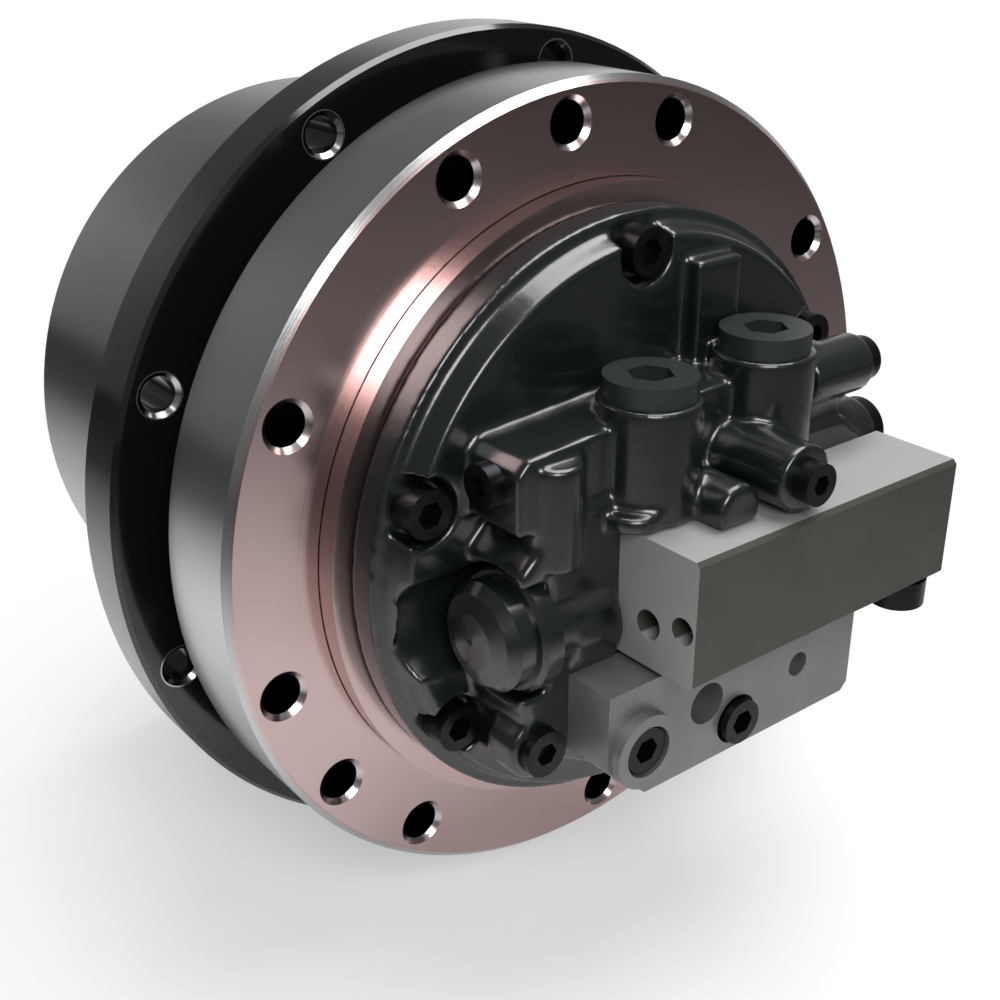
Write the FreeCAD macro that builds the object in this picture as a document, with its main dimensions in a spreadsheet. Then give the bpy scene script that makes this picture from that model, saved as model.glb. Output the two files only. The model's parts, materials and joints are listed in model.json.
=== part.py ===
import FreeCAD, Part
import math
import os

import Sketcher

# Final drive of an excavator: an axial-piston travel motor inside a fixed spindle, and a
# two-stage planetary gear that turns the hub and its sprocket flange.
# Millimetres. The turning axis is Y, the motor end looks along -Y, +Z is up, and the origin is
# the centre of the face that bolts to the track frame. Angles run from +X towards +Z.

doc = FreeCAD.newDocument("FinalDrive")

DIMENSIONS = {
    # frame flange and spindle
    "flange_radius": 145,
    "flange_depth": 36,
    "flange_edge": 2.5,
    "frame_bolt_circle": 132,
    "frame_bolt_radius": 7,
    "frame_bolt_depth": 26,
    "pilot_radius": 112.5,
    "pilot_height": 8,
    "flange_seat": 111.5,
    "corner_groove": 1,
    "seal_seat_radius": 106,
    "seal_seat_floor": 27,
    "neck_radius": 88,
    "journal_radius": 80,
    "journal_start": 66,
    "nose_end": 111,
    "cavity_radius": 60,
    "cavity_end": 62,
    "shaft_bearing_radius": 31,
    "shaft_bearing_end": 78,
    "shaft_seal_radius": 24,
    "nose_bore": 20,
    # hub and sprocket flange
    "sprocket_radius": 155.5,
    "sprocket_face": 54.7,
    "sprocket_back": 75,
    "drum_seat": 74,
    "sprocket_bolt_circle": 143.8,
    "sprocket_bolt_radius": 6,
    "sprocket_bolt_count": 9,
    "collar_radius": 110,
    "collar_face": 39,
    "hub_seal_floor": 60,
    "bearing_seat": 100,
    "hub_neck_radius": 110.9,
    "hub_end": 104,
    # gear drum and end cover
    "drum_radius": 123,
    "drum_bore": 111,
    "drum_start": 74.2,
    "drum_relief": 0.8,
    "drum_end": 180,
    "cover_end": 195,
    "drum_rim": 6,
    "teeth_start": 113,
    "teeth_end": 177,
    "end_bolt_circle": 112,
    "end_bolt_count": 8,
    # main bearing, two rows of rollers
    "inner_race": 85,
    "outer_race": 95.4,
    "roller_radius": 4.9,
    "roller_count": 12,
    "cage_middle": 85,
    "row_length": 17,
    "bearing_end": 104,
    # gear train, one ring gear for both stages
    "tooth_module": 3.6,
    "ring_teeth": 54,
    "planet_teeth": 21,
    "sun_teeth": 12,
    "tooth_backlash": 0.3,
    "planet_count": 3,
    "tooth_height": 0.8,
    "tooth_depth": 1,
    "second_start": 114,
    "second_width": 28,
    "second_pin_radius": 12,
    "second_bore": 17,
    "first_start": 153,
    "first_width": 20,
    "first_pin_radius": 9,
    "first_bore": 13,
    "carrier_start": 145,
    "carrier_thickness": 7,
    # drive shaft and rotating group
    "shaft_radius": 15,
    "quill_radius": 10,
    "block_radius": 47,
    "block_start": -4.5,
    "block_end": 30,
    "piston_circle": 32,
    "piston_radius": 8,
    "piston_count": 7,
    "piston_length": 27,
    "swash_angle": 12,
    "swash_centre": 46,
    "slipper_radius": 11,
    "slipper_height": 7,
    # rear cover and valve body
    "cover_radius": 106,
    "cover_foot": -20,
    "cover_face": -29,
    "cover_face_radius": 99,
    "cover_bolt_circle": 95,
    "chest_left": -76,
    "chest_right": 68,
    "chest_top": 54,
    "chest_front": -54,
    "body_front": -56,
    "spool_y": -43,
    "spool_z": -10,
    "spool_bore": 8,
    "speed_y": -41,
    "speed_z": 40,
    "speed_bore": 5,
    "left_boss_x": -23,
    "right_boss_x": 28,
    "boss_y": -52,
    "left_boss_top": 58.5,
    "right_boss_top": 63,
    "boss_radius": 17,
    "block_front": -90,
    "block_left": -37,
    "block_right": 88,
    "block_bottom": -24,
    "block_top": 20,
    "port_radius": 8.3,
    "plate_front": -75,
    "plate_left": -57,
    "plate_right": 61,
    "plate_bottom": -68,
    "plate_top": -26,
    # socket screws
    "screw_radius": 5,
    "head_radius": 8,
    "head_height": 10,
    "hexagon": 4.6,
    "screw_gap": 0.1,
}

sheet = doc.addObject("Spreadsheet::Sheet", "Size")
for row, (alias, number) in enumerate(DIMENSIONS.items(), start=1):
    sheet.set(f"A{row}", alias)
    sheet.set(f"B{row}", str(number))
    sheet.setAlias(f"B{row}", alias)
doc.recompute()

NODES = {}
UP = FreeCAD.Vector(0, 0, 1)
AXIS = FreeCAD.Vector(0, 1, 0)


def value(expression):
    """The number that an expression over the sheet gives."""
    return float(sheet.evalExpression(str(expression)))


def node(item, label):
    """Names an object as a sub-part that is written out."""
    item.Label = label
    NODES[label] = item
    return item


def origin_plane(body, role):
    return next(item for item in body.Origin.OriginFeatures if item.Role == role)


def new_sketch(body, name, role, offset):
    sketch = body.newObject("Sketcher::SketchObject", name)
    sketch.AttachmentSupport = [(origin_plane(body, role), "")]
    sketch.MapMode = "FlatFace"
    sketch.setExpression("AttachmentOffset.Base.z", str(offset))
    return sketch


def outline(body, name, points, role="XY_Plane", offset="0"):
    """A closed outline of straight sides; each point is a pair of expressions."""
    sketch = new_sketch(body, name, role, offset)
    corners = [FreeCAD.Vector(value(x), value(y), 0) for x, y in points]
    count = len(corners)
    for index in range(count):
        sketch.addGeometry(Part.LineSegment(corners[index], corners[(index + 1) % count]), False)
    for index in range(count):
        sketch.addConstraint(Sketcher.Constraint("Coincident", index, 2, (index + 1) % count, 1))
    for index, (x, y) in enumerate(points):
        for kind, expression in (("DistanceX", x), ("DistanceY", y)):
            rule = Sketcher.Constraint(kind, -1, 1, index, 1, value(expression))
            sketch.setExpression(f"Constraints[{sketch.addConstraint(rule)}]", str(expression))
    return sketch


def circles(body, name, centres, radius, role="XZ_Plane", offset="0"):
    """Equal circles in one sketch; each centre is a pair of expressions."""
    sketch = new_sketch(body, name, role, offset)
    for x, y in centres:
        centre = FreeCAD.Vector(value(x), value(y), 0)
        circle = sketch.addGeometry(Part.Circle(centre, UP, value(radius)), False)
        rule = sketch.addConstraint(Sketcher.Constraint("Radius", circle, value(radius)))
        sketch.setExpression(f"Constraints[{rule}]", str(radius))
        for kind, expression in (("DistanceX", x), ("DistanceY", y)):
            rule = Sketcher.Constraint(kind, -1, 1, circle, 3, value(expression))
            sketch.setExpression(f"Constraints[{sketch.addConstraint(rule)}]", str(expression))
    return sketch


def turned(label, points):
    """A body turned about the Y axis from an outline of (radius, y) pairs."""
    body = doc.addObject("PartDesign::Body", label)
    sketch = outline(body, label + "_section", points)
    turn = body.newObject("PartDesign::Revolution", label + "_turn")
    turn.Profile = sketch
    turn.ReferenceAxis = (sketch, ["V_Axis"])
    turn.Angle = 360
    doc.recompute()
    return node(body, label)


def ring(label, inner, outer, start, end):
    """A plain ring of rectangular section."""
    return turned(label, [(inner, start), (outer, start), (outer, end), (inner, end)])


def polar(circle, angle):
    """The x and z expressions of a point on a circle about the Y axis."""
    return f"{circle} * cos({angle} deg)", f"{circle} * sin({angle} deg)"


def drill(body, name, centres, radius, face, depth, repeats="1"):
    """Round pockets cut towards +Y from the plane y = face, repeated about the Y axis."""
    before = body.Shape.Volume
    sketch = circles(body, name + "_circles", centres, radius, offset=f"-1 * ({face})")
    pocket = body.newObject("PartDesign::Pocket", name)
    pocket.Profile = sketch
    pocket.setExpression("Length", str(depth))
    repeat_about_axis(body, name, pocket, sketch, repeats)
    if body.Shape.Volume >= before:
        raise RuntimeError(name + " cuts nothing")


def repeat_about_axis(body, name, feature, sketch, repeats):
    doc.recompute()
    if value(repeats) > 1:
        pattern = body.newObject("PartDesign::PolarPattern", name + "_pattern")
        pattern.Originals = [feature]
        pattern.Axis = (sketch, ["N_Axis"])
        pattern.Angle = 360
        pattern.setExpression("Occurrences", str(repeats))
        body.Tip = pattern
        doc.recompute()


def tapped(body, name, centres, radius, face, depth, repeats):
    """Tapped holes with a countersunk mouth, cut towards +Y from the plane y = face."""
    sketch = circles(body, name + "_circles", centres, radius, offset=f"-1 * ({face})")
    doc.recompute()
    hole = body.newObject("PartDesign::Hole", name)
    hole.Profile = sketch
    hole.ThreadType = 0
    hole.setExpression("Diameter", f"2 * {radius}")
    hole.DepthType = 0
    hole.setExpression("Depth", str(depth))
    hole.DrillPoint = 0
    hole.HoleCutType = "Countersink"
    hole.setExpression("HoleCutDiameter", f"2.5 * {radius}")
    hole.HoleCutCountersinkAngle = 90
    repeat_about_axis(body, name, hole, sketch, repeats)


def place(item, at):
    for letter, expression in zip("xyz", at):
        item.setExpression(f"Placement.Base.{letter}", str(expression))
    return item


DIRECTIONS = {
    "+X": FreeCAD.Vector(1, 0, 0),
    "-X": FreeCAD.Vector(-1, 0, 0),
    "+Y": AXIS,
    "-Y": FreeCAD.Vector(0, -1, 0),
    "+Z": UP,
    "-Z": FreeCAD.Vector(0, 0, -1),
}


def cylinder(name, radius, height, at, along):
    """A cylinder from the point at, along a signed axis."""
    item = doc.addObject("Part::Cylinder", name)
    item.setExpression("Radius", str(radius))
    item.setExpression("Height", str(height))
    item.Placement.Rotation = FreeCAD.Rotation(UP, DIRECTIONS[along])
    return place(item, at)


def cone(name, start_radius, end_radius, height, at, along):
    item = doc.addObject("Part::Cone", name)
    item.setExpression("Radius1", str(start_radius))
    item.setExpression("Radius2", str(end_radius))
    item.setExpression("Height", str(height))
    item.Placement.Rotation = FreeCAD.Rotation(UP, DIRECTIONS[along])
    return place(item, at)


def box(name, low, high):
    """A box between two corners."""
    item = doc.addObject("Part::Box", name)
    for side, start, end in zip(("Length", "Width", "Height"), low, high):
        item.setExpression(side, f"({end}) - ({start})")
    return place(item, low)


def joined(name, items):
    fusion = doc.addObject("Part::MultiFuse", name)
    fusion.Shapes = items
    fusion.Refine = True
    return fusion


def cut(name, base, tools):
    """The base less its tools, with the result's volume checked against the base's."""
    tool = joined(name + "_tools", tools) if len(tools) > 1 else tools[0]
    result = doc.addObject("Part::Cut", name)
    result.Base = base
    result.Tool = tool
    doc.recompute()
    if result.Shape.Volume >= base.Shape.Volume:
        raise RuntimeError(name + " cuts nothing")
    return result


def group(label, shapes):
    """One sub-part made of equal pieces, each a placed copy of the same shape."""
    item = doc.addObject("Part::Feature", label)
    item.Shape = Part.makeCompound(shapes) if len(shapes) > 1 else shapes[0]
    return node(item, label)


def about_axis(shape, angle):
    """A copy turned from +X towards +Z about the Y axis."""
    copy = shape.copy()
    copy.rotate(FreeCAD.Vector(), AXIS, -angle)
    return copy


def rod(radius, start, end, x=0, z=0):
    """A cylinder along Y between two values of y."""
    return Part.makeCylinder(radius, end - start, FreeCAD.Vector(x, start, z), AXIS)


def at_angle(circle, angle):
    return circle * math.cos(math.radians(angle)), circle * math.sin(math.radians(angle))


def socket_screw(length, scale=1.0):
    """A socket-head screw along +Y from its seat at the origin, with a hexagon socket."""
    head = rod(value("Size.head_radius") * scale, -value("Size.head_height") * scale, 0)
    shank = rod(value("Size.screw_radius") * scale, 0, length)
    top = -value("Size.head_height") * scale
    corners = [at_angle(value("Size.hexagon") * scale, 60 * side) for side in range(7)]
    hexagon = Part.Face(Part.makePolygon([FreeCAD.Vector(x, top, z) for x, z in corners]))
    socket = hexagon.extrude(AXIS * value("Size.head_height") * scale * 0.6)
    return head.fuse(shank).cut(socket).removeSplitter()


def moved(shape, x, y, z):
    copy = shape.copy()
    copy.translate(FreeCAD.Vector(x, y, z))
    return copy


# ---------------------------------------------------------------- spindle, bolted to the frame

frame_flange = turned("frame_flange", [
    ("Size.pilot_radius + 0.3", "0"),
    ("Size.flange_radius - Size.flange_edge", "0"),
    ("Size.flange_radius", "Size.flange_edge"),
    ("Size.flange_radius", "Size.flange_depth"),
    ("Size.seal_seat_radius", "Size.flange_depth"),
    ("Size.seal_seat_radius", "Size.seal_seat_floor"),
    ("Size.flange_seat", "Size.seal_seat_floor"),
    ("Size.flange_seat", "Size.corner_groove"),
    ("Size.pilot_radius + 0.3", "Size.corner_groove"),
])
spindle = turned("spindle", [
    ("Size.cavity_radius", "-1 * Size.pilot_height"),
    ("Size.pilot_radius", "-1 * Size.pilot_height"),
    ("Size.pilot_radius", "0"),
    ("Size.flange_seat", "0"),
    ("Size.flange_seat", "Size.seal_seat_floor"),
    ("Size.neck_radius", "Size.seal_seat_floor"),
    ("Size.neck_radius", "Size.journal_start"),
    ("Size.journal_radius", "Size.journal_start"),
    ("Size.journal_radius", "Size.nose_end"),
    ("Size.nose_bore", "Size.nose_end"),
    ("Size.nose_bore", "Size.shaft_bearing_end + 10"),
    ("Size.shaft_seal_radius", "Size.shaft_bearing_end + 10"),
    ("Size.shaft_seal_radius", "Size.shaft_bearing_end"),
    ("Size.shaft_bearing_radius", "Size.shaft_bearing_end"),
    ("Size.shaft_bearing_radius", "Size.cavity_end"),
    ("Size.cavity_radius", "Size.cavity_end"),
])
# Three groups of three holes 20 degrees apart, with a single hole in each gap.
tapped(
    frame_flange,
    "frame_holes",
    [polar("Size.frame_bolt_circle", angle) for angle in (35, 75, 95, 115)],
    "Size.frame_bolt_radius",
    "0",
    "Size.frame_bolt_depth",
    "3",
)
PLANET_CENTRE = "Size.tooth_module * (Size.sun_teeth + Size.planet_teeth) / 2"
PIN_DEPTH = "25"
drill(
    spindle,
    "pin_holes",
    [polar(PLANET_CENTRE, 90)],
    "Size.second_pin_radius",
    f"Size.nose_end - {PIN_DEPTH}",
    f"{PIN_DEPTH} + 1",
    "Size.planet_count",
)
COVER_SCREW_ANGLES = (92, 162, 212, 272, 332, 32)
drill(
    spindle,
    "cover_screw_holes",
    [polar("Size.cover_bolt_circle", angle) for angle in COVER_SCREW_ANGLES],
    "Size.screw_radius + Size.screw_gap",
    "-1 * Size.pilot_height",
    "18",
)

# ---------------------------------------------------------------- hub with the sprocket flange

sprocket_flange = turned("sprocket_flange", [
    ("Size.collar_radius", "Size.sprocket_face"),
    ("Size.sprocket_radius - 1.5", "Size.sprocket_face"),
    ("Size.sprocket_radius", "Size.sprocket_face + 1.5"),
    ("Size.sprocket_radius", "Size.sprocket_back"),
    ("Size.drum_radius + 0.3", "Size.sprocket_back"),
    ("Size.drum_radius + 0.3", "Size.drum_seat"),
    ("Size.collar_radius", "Size.drum_seat"),
])
turned("hub", [
    ("Size.seal_seat_radius", "Size.collar_face"),
    ("Size.collar_radius", "Size.collar_face"),
    ("Size.collar_radius", "Size.drum_seat"),
    ("Size.hub_neck_radius", "Size.drum_seat"),
    ("Size.hub_neck_radius", "Size.hub_end"),
    ("Size.bearing_seat", "Size.hub_end"),
    ("Size.bearing_seat", "Size.hub_seal_floor"),
    ("Size.seal_seat_radius", "Size.hub_seal_floor"),
])
tapped(
    sprocket_flange,
    "sprocket_holes",
    [polar("Size.sprocket_bolt_circle", 118.5)],
    "Size.sprocket_bolt_radius",
    "Size.sprocket_face",
    "Size.sprocket_back - Size.sprocket_face + 1",
    "Size.sprocket_bolt_count",
)
DRUM_SCREW_CIRCLE = "117"
drill(
    sprocket_flange,
    "drum_screw_seats",
    [polar(DRUM_SCREW_CIRCLE, 0)],
    "6.6",
    "Size.sprocket_face",
    "8",
    "8",
)
drill(
    sprocket_flange,
    "drum_screw_holes",
    [polar(DRUM_SCREW_CIRCLE, 0)],
    "4.1",
    "Size.sprocket_face",
    "30",
    "8",
)

# ---------------------------------------------------------------- gear teeth


def gear_outline(teeth, radius, tip, root, widening, tooth_angle):
    """The outline of a gear with involute flanks, as points in the plane y = 0.

    The flank of each tooth passes through its root, pitch and tip circles, and widening is
    added to each side of the tooth at the pitch circle.
    """
    pressure = math.radians(20)
    base = radius * math.cos(pressure)
    half = math.pi / (2 * teeth) + widening / radius
    flank = []
    for reach in (root, max(base, root + 0.1), radius, tip):
        roll = math.acos(min(1, base / reach))
        spread = half + (math.tan(pressure) - pressure) - (math.tan(roll) - roll)
        flank.append((reach, spread))
    if base <= root:
        flank.pop(1)
    points = []
    for tooth in range(teeth):
        middle = math.radians(tooth_angle) + tooth * 2 * math.pi / teeth
        rising = [(reach, middle - spread) for reach, spread in flank]
        falling = [(reach, middle + spread) for reach, spread in reversed(flank)]
        points += rising + falling
    return [
        FreeCAD.Vector(reach * math.cos(angle), 0, reach * math.sin(angle))
        for reach, angle in points
    ]


def toothed(teeth, tooth_angle, start, width, bore=0, internal=False):
    """A gear about the Y axis, or the shape of the spaces of an internal gear."""
    module = value("Size.tooth_module")
    radius = module * teeth / 2
    height = module * value("Size.tooth_height")
    depth = module * value("Size.tooth_depth")
    play = value("Size.tooth_backlash") / 4
    if internal:
        height, depth, play = depth, height, -play
    points = gear_outline(teeth, radius, radius + height, radius - depth, -play, tooth_angle)
    faces = [Part.Wire(Part.makePolygon(points + points[:1]))]
    if bore:
        faces.append(Part.Wire(Part.makeCircle(bore, FreeCAD.Vector(), AXIS)))
    gear = Part.Face(faces[0]).extrude(AXIS * width)
    if bore:
        gear = gear.cut(rod(bore, -1, width + 1))
    return moved(gear, 0, start, 0)


RING_TEETH = int(value("Size.ring_teeth"))
PLANET_TEETH = int(value("Size.planet_teeth"))
SUN_TEETH = int(value("Size.sun_teeth"))
CENTRE = value(PLANET_CENTRE)
PLANETS = int(value("Size.planet_count"))
# The first planet stands above the sun, with an odd number of teeth: a tooth points up into a
# space of the ring gear, and a space points down at a tooth of the sun.
MESH_ANGLE = 90
RING_TIP = "Size.tooth_module * (Size.ring_teeth / 2 - Size.tooth_height)"

# ---------------------------------------------------------------- gear drum and end cover

drum_blank = turned("drum_blank", [
    ("Size.drum_bore", "Size.drum_start"),
    ("Size.drum_radius - Size.drum_relief", "Size.drum_start"),
    ("Size.drum_radius - Size.drum_relief", "Size.sprocket_back + 0.2"),
    ("Size.drum_radius", "Size.sprocket_back + 0.2"),
    ("Size.drum_radius", "Size.drum_end"),
    ("101.5", "Size.drum_end"),
    ("101.5", "Size.teeth_end"),
    (RING_TIP, "Size.teeth_end"),
    (RING_TIP, "Size.teeth_start"),
    ("104", "Size.teeth_start"),
    ("104", "Size.hub_end + 0.3"),
    ("Size.drum_bore", "Size.hub_end + 0.3"),
])
del NODES["drum_blank"]
drill(drum_blank, "drum_threads", [polar(DRUM_SCREW_CIRCLE, 0)], "4.1", "Size.drum_start", "14", "8")
drill(
    drum_blank,
    "end_threads",
    [polar("Size.end_bolt_circle", 22.5)],
    "4.1",
    "Size.drum_end - 14",
    "15",
    "Size.end_bolt_count",
)
tooth_spaces = doc.addObject("Part::Feature", "tooth_spaces")
tooth_spaces.Shape = toothed(
    RING_TEETH,
    MESH_ANGLE,
    value("Size.teeth_start") - 1,
    value("Size.teeth_end - Size.teeth_start") + 2,
    internal=True,
)
node(cut("gear_drum_cut", drum_blank, [tooth_spaces]), "gear_drum")

end_cover = turned("end_cover", [
    ("0", "Size.drum_end + 1"),
    ("16.2", "Size.drum_end + 1"),
    ("16.2", "Size.drum_end - 2"),
    ("101.2", "Size.drum_end - 2"),
    ("101.2", "Size.drum_end"),
    ("Size.drum_radius", "Size.drum_end"),
    ("Size.drum_radius", "Size.cover_end - Size.drum_rim"),
    ("Size.drum_radius - 0.3 * Size.drum_rim", "Size.cover_end - 0.3 * Size.drum_rim"),
    ("Size.drum_radius - Size.drum_rim", "Size.cover_end"),
    ("96", "Size.cover_end"),
    ("92", "Size.cover_end - 4"),
    ("0", "Size.cover_end - 4"),
])
drill(
    end_cover,
    "end_screw_seats",
    [polar("Size.end_bolt_circle", 22.5)],
    "6.6",
    "Size.cover_end - 8.5",
    "9",
    "Size.end_bolt_count",
)
drill(
    end_cover,
    "end_screw_holes",
    [polar("Size.end_bolt_circle", 22.5)],
    "4.1",
    "Size.drum_end - 1",
    "12",
    "Size.end_bolt_count",
)
drill(end_cover, "oil_holes", [polar("72", 90), polar("72", 210)], "8", "Size.drum_end - 3", "20")
ring("thrust_pad", "0", "16", "Size.drum_end - 2", "Size.drum_end + 1")

# ---------------------------------------------------------------- main bearing and floating seal

ring("bearing_inner_race", "Size.journal_radius + 0.05", "Size.inner_race",
     "Size.journal_start", "Size.bearing_end")
ring("bearing_outer_race", "Size.outer_race", "Size.bearing_seat - 0.05",
     "Size.hub_seal_floor + 3", "Size.bearing_end")
ring("roller_cage", "Size.inner_race + 2", "Size.outer_race - 2",
     "Size.cage_middle - 1", "Size.cage_middle + 1")
ring("bearing_nut", "Size.journal_radius + 0.05", "90", "Size.bearing_end", "Size.nose_end - 1")

rollers = []
roller_circle = value("(Size.inner_race + Size.outer_race) / 2")
for number in range(int(value("Size.roller_count"))):
    x, z = at_angle(roller_circle, number * 360 / value("Size.roller_count"))
    for start, end in (
        ("Size.cage_middle - 1 - Size.row_length", "Size.cage_middle - 1"),
        ("Size.cage_middle + 1", "Size.cage_middle + 1 + Size.row_length"),
    ):
        rollers.append(rod(value("Size.roller_radius"), value(start), value(end), x, z))
group("bearing_rollers", rollers)

SEAL_PLANE = 44


def seal_half(label, side):
    """One metal ring of the floating seal; side is -1 on the spindle and +1 in the hub."""
    section = [(92, 13), (95, 13), (97, 4.5), (103, 4.5), (103, 0.1), (92, 0.1)]
    turned(label, [(str(radius), str(SEAL_PLANE + side * depth)) for radius, depth in section])


def seal_rubber(label, side):
    """The rubber ring, squeezed between the metal ring and its seat."""
    section = [(98, 13.5), (104, 13.5), (105.6, 10), (103, 6), (98.6, 7)]
    turned(label, [(str(radius), str(SEAL_PLANE + side * depth)) for radius, depth in section])


seal_half("seal_ring_fixed", -1)
seal_half("seal_ring_turning", 1)
seal_rubber("seal_rubber_fixed", -1)
seal_rubber("seal_rubber_turning", 1)

# ---------------------------------------------------------------- planetary gears


def planet(label, number, bore, start, width):
    """A planet gear on its own centre, turned into place about the main axis."""
    gear = toothed(PLANET_TEETH, MESH_ANGLE, value(start), value(width), value(bore))
    centred = moved(gear, 0, 0, CENTRE)
    group(label, [about_axis(centred, number * 360 / PLANETS)])


def planet_set(shape):
    """Three copies of a piece that stands on the first planet's axis."""
    centred = moved(shape, 0, 0, CENTRE)
    return [about_axis(centred, number * 360 / PLANETS) for number in range(PLANETS)]


for number, letter in enumerate("abc"):
    planet("second_planet_" + letter, number, "Size.second_bore", "Size.second_start",
           "Size.second_width")
    planet("first_planet_" + letter, number, "Size.first_bore", "Size.first_start",
           "Size.first_width")

second_end = value("Size.second_start + Size.second_width")
pin_start = value(f"Size.nose_end - {PIN_DEPTH}") + 0.2
second_pin = rod(value("Size.second_pin_radius") - 0.05, pin_start, second_end + 0.5)
second_sleeve = rod(value("Size.second_bore") - 0.3, value("Size.nose_end"), second_end + 0.5)
second_sleeve = second_sleeve.cut(
    rod(value("Size.second_pin_radius"), value("Size.nose_end") - 1, second_end + 1))
group("second_planet_pins", planet_set(second_pin) + planet_set(second_sleeve))
ring("second_pin_plate", "44", "74", str(second_end + 0.5), str(second_end + 2.3))

carrier = ring("carrier", "17", "74", "Size.carrier_start",
               "Size.carrier_start + Size.carrier_thickness")
drill(carrier, "first_pin_holes", [polar(PLANET_CENTRE, 90)], "Size.first_pin_radius",
      "Size.carrier_start - 1", "Size.carrier_thickness + 2", "Size.planet_count")
first_end = value("Size.first_start + Size.first_width")
first_pin = rod(value("Size.first_pin_radius") - 0.05, value("Size.carrier_start"), first_end + 1)
first_sleeve = rod(value("Size.first_bore") - 0.3, value("Size.carrier_start") + 7, first_end + 1)
first_sleeve = first_sleeve.cut(
    rod(value("Size.first_pin_radius"), value("Size.carrier_start"), first_end + 2))
group("first_planet_pins", planet_set(first_pin) + planet_set(first_sleeve))

second_sun = toothed(SUN_TEETH, MESH_ANGLE, value("Size.second_start"), 30, 12)
hub_of_sun = rod(16.95, value("Size.second_start") + 30, value("Size.carrier_start") + 7)
group("second_sun_gear", [
    second_sun.fuse(hub_of_sun.cut(rod(12, 100, 200))).removeSplitter()])

quill = rod(value("Size.quill_radius") - 0.05, 84, 177.5)
first_sun = toothed(SUN_TEETH, MESH_ANGLE, value("Size.first_start"),
                    value("Size.first_width") + 2)
group("first_sun_gear", [quill.fuse(first_sun).removeSplitter()])

# ---------------------------------------------------------------- drive shaft and its bearings

turned("drive_shaft", [
    ("0", "-24"),
    ("12.5", "-24"),
    ("12.5", "-9"),
    ("Size.shaft_radius", "-9"),
    ("Size.shaft_radius", "100"),
    ("Size.quill_radius", "100"),
    ("Size.quill_radius", "84"),
    ("0", "84"),
])
front_race = rod(value("Size.shaft_bearing_radius") - 0.05, value("Size.cavity_end"),
                 value("Size.shaft_bearing_end")).cut(rod(23, 50, 90))
rear_race = rod(19.9, -25, -10).cut(rod(12.8, -30, 0))
group("shaft_bearing_races", [front_race, rear_race])
ring("shaft_bearing_cone", "Size.shaft_radius + 0.05", "22.7",
     "Size.cavity_end", "Size.shaft_bearing_end")
ring("shaft_seal", "Size.shaft_radius + 0.3", "Size.shaft_seal_radius - 0.05",
     "Size.shaft_bearing_end + 1", "Size.shaft_bearing_end + 9")

# ---------------------------------------------------------------- swash plate and rotating group

TILT = value("Size.swash_angle")
TILTED = FreeCAD.Rotation(DIRECTIONS["+X"], -TILT)
swash_blank = cut(
    "swash_blank",
    cylinder("swash_disc", "57", "Size.cavity_end - 30", ("0", "30", "0"), "+Y"),
    [cylinder("swash_bore", "24", "Size.cavity_end", ("0", "10", "0"), "+Y")],
)
swash_space = doc.addObject("Part::Box", "swash_space")
swash_space.Length = 160
swash_space.Width = 60
swash_space.Height = 160
swash_space.Placement = FreeCAD.Placement(
    FreeCAD.Vector(0, value("Size.swash_centre"), 0), TILTED
).multiply(FreeCAD.Placement(FreeCAD.Vector(-80, -60, -80), FreeCAD.Rotation()))
node(cut("swash_cut", swash_blank, [swash_space]), "swash_plate")

PISTONS = int(value("Size.piston_count"))
PISTON_ANGLES = [90 + number * 360 / PISTONS for number in range(PISTONS)]
cylinder_block = turned("cylinder_block", [
    ("Size.shaft_radius + 0.3", "Size.block_start"),
    ("Size.block_radius", "Size.block_start"),
    ("Size.block_radius", "Size.block_end"),
    ("20", "Size.block_end"),
    ("20", "6"),
    ("Size.shaft_radius + 0.3", "6"),
])
drill(cylinder_block, "piston_bores", [polar("Size.piston_circle", 90)],
      "Size.piston_radius + 0.1", "2", "40", "Size.piston_count")

pistons = []
slippers = []
slipper_pad = rod(value("Size.slipper_radius"), -3, -0.1)
slipper_cup = rod(6.5, -value("Size.slipper_height"), -3)
slipper = slipper_pad.fuse(slipper_cup).cut(rod(5.6, -10, -2.8)).removeSplitter()
slipper.rotate(FreeCAD.Vector(), DIRECTIONS["+X"], -TILT)
for angle in PISTON_ANGLES:
    x, z = at_angle(value("Size.piston_circle"), angle)
    plate_y = value("Size.swash_centre") + z * math.tan(math.radians(TILT))
    crown = plate_y - value("Size.slipper_height") - 2
    skirt = rod(value("Size.piston_radius"), crown - value("Size.piston_length"), crown, x, z)
    stem = rod(4, crown, plate_y - 4.2, x, z)
    pistons.append(skirt.fuse(stem).removeSplitter())
    slippers.append(moved(slipper, x, plate_y, z))
group("pistons", pistons)
group("slippers", slippers)

retainer = rod(45, -6, -3.2).cut(rod(20, -10, 0))
retainer.rotate(FreeCAD.Vector(), DIRECTIONS["+X"], -TILT)
retainer.translate(FreeCAD.Vector(0, value("Size.swash_centre"), 0))
for angle in PISTON_ANGLES:
    x, z = at_angle(value("Size.piston_circle"), angle)
    hole = rod(7, -12, 2)
    hole.rotate(FreeCAD.Vector(), DIRECTIONS["+X"], -TILT)
    plate_y = value("Size.swash_centre") + z * math.tan(math.radians(TILT))
    retainer = retainer.cut(moved(hole, x, plate_y, z))
group("retainer_plate", [retainer])
ring("block_spring", "16", "19.5", "6.2", "Size.block_end - 0.2")
turned("ball_guide", [
    ("Size.shaft_radius + 0.6", "Size.block_end"),
    ("19.5", "Size.block_end"),
    ("18", "Size.block_end + 3"),
    ("Size.shaft_radius + 0.6", "Size.block_end + 4"),
])

valve_plate = ring("valve_plate_disc", "16", "45", "-8", "Size.block_start")
del NODES["valve_plate_disc"]


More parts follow.
